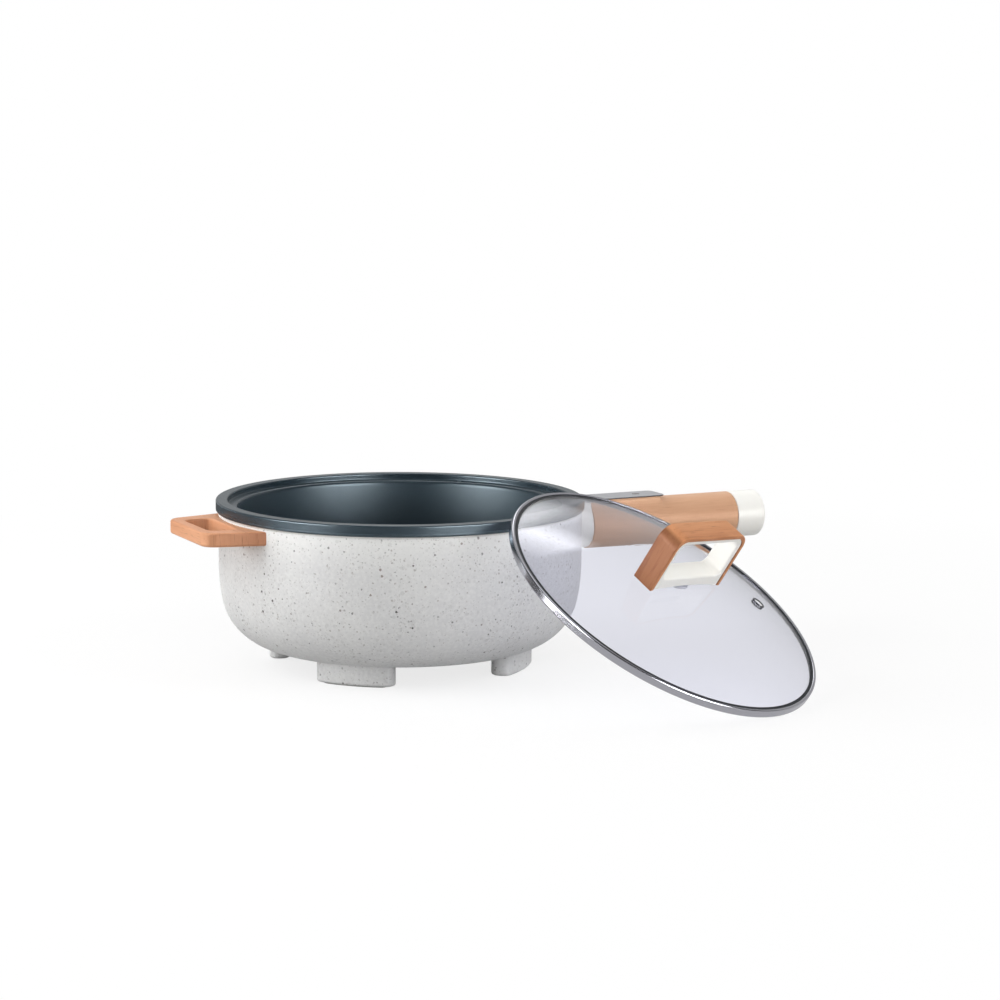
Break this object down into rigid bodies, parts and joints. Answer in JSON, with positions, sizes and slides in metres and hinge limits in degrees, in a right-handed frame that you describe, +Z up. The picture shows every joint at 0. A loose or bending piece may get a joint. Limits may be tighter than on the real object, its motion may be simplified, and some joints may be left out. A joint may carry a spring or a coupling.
{
  "type": "electric skillet",
  "caption": "Round electric skillet: coated pot in a white speckled shell on feet, wood-look stick and loop handles, turning heat control, and a loose glass lid leaning on its rim.",
  "frame": {"origin": "on the table, under the middle of the whole object with its lid leaning on the pot", "axes": "+X along the stick handle, away from the pot; +Z up; the lid leans on the -Y side and the inlet faces +Y"},
  "size_m": [0.487, 0.4454, 0.1397],
  "materials": {
    "shell": "moulded, white with dark specks",
    "pot": "dark non-stick coating",
    "silicone": "silicone",
    "plate": "as cast",
    "steel": "plated steel",
    "polished_steel": "polished stainless steel",
    "dark_plastic": "dark moulded plastic",
    "panel": "dark grey, satin",
    "ceramic": "white insulating body",
    "wire": "silicone insulation",
    "rubber": "soft rubber",
    "brass": "plain brass",
    "wood_look": "wood-grain finish",
    "cream": "cream, satin gloss",
    "lens": "clear red",
    "glass": "clear tempered glass"
  },
  "bodies": {
    "cooker": {"outer_shell": "shell", "cooking_pot": "pot", "rim_gasket": "silicone", "heat_spreader": "plate", "heating_element": "steel", "thermostat": "dark_plastic", "thermostat_bracket": "steel", "bracket_screws": "steel", "thermal_fuse": "ceramic", "fuse_clip": "steel", "heat_shield": "steel", "pot_studs": "steel", "stud_screws": "steel", "bottom_cover": "shell", "cover_screws": "steel", "foot_pads": "rubber", "power_inlet": "dark_plastic", "inlet_pins": "brass", "inlet_screws": "steel", "lead_wires": "wire", "side_handle": "wood_look", "side_handle_screws": "steel", "handle_core": "cream", "handle_collar": "cream", "handle_sleeve": "wood_look", "handle_bolts": "steel", "control_panel": "panel", "indicator_lens": "lens", "indicator_lamp": "ceramic", "rotary_switch": "dark_plastic", "switch_nut": "brass"},
    "knob": {"control_knob": "cream", "switch_shaft": "steel"},
    "lid": {"lid_glass": "glass", "lid_band": "polished_steel", "vent_eyelet": "polished_steel", "lid_handle_frame": "cream", "lid_handle_strap": "wood_look", "lid_handle_seal": "silicone", "lid_washer": "steel", "lid_screw": "steel"}
  },
  "joints": [
    {"name": "lid_lift", "type": "slide", "parent": "cooker", "child": "lid", "axis": [0, 0, 1], "range_m": [0, 0.15]},
    {"name": "knob_turn", "type": "hinge", "parent": "cooker", "child": "knob", "pos_m": [0.24345, 0.0827, 0.096], "axis": [-1, 0, 0], "range_deg": [0, 270]}
  ]
}
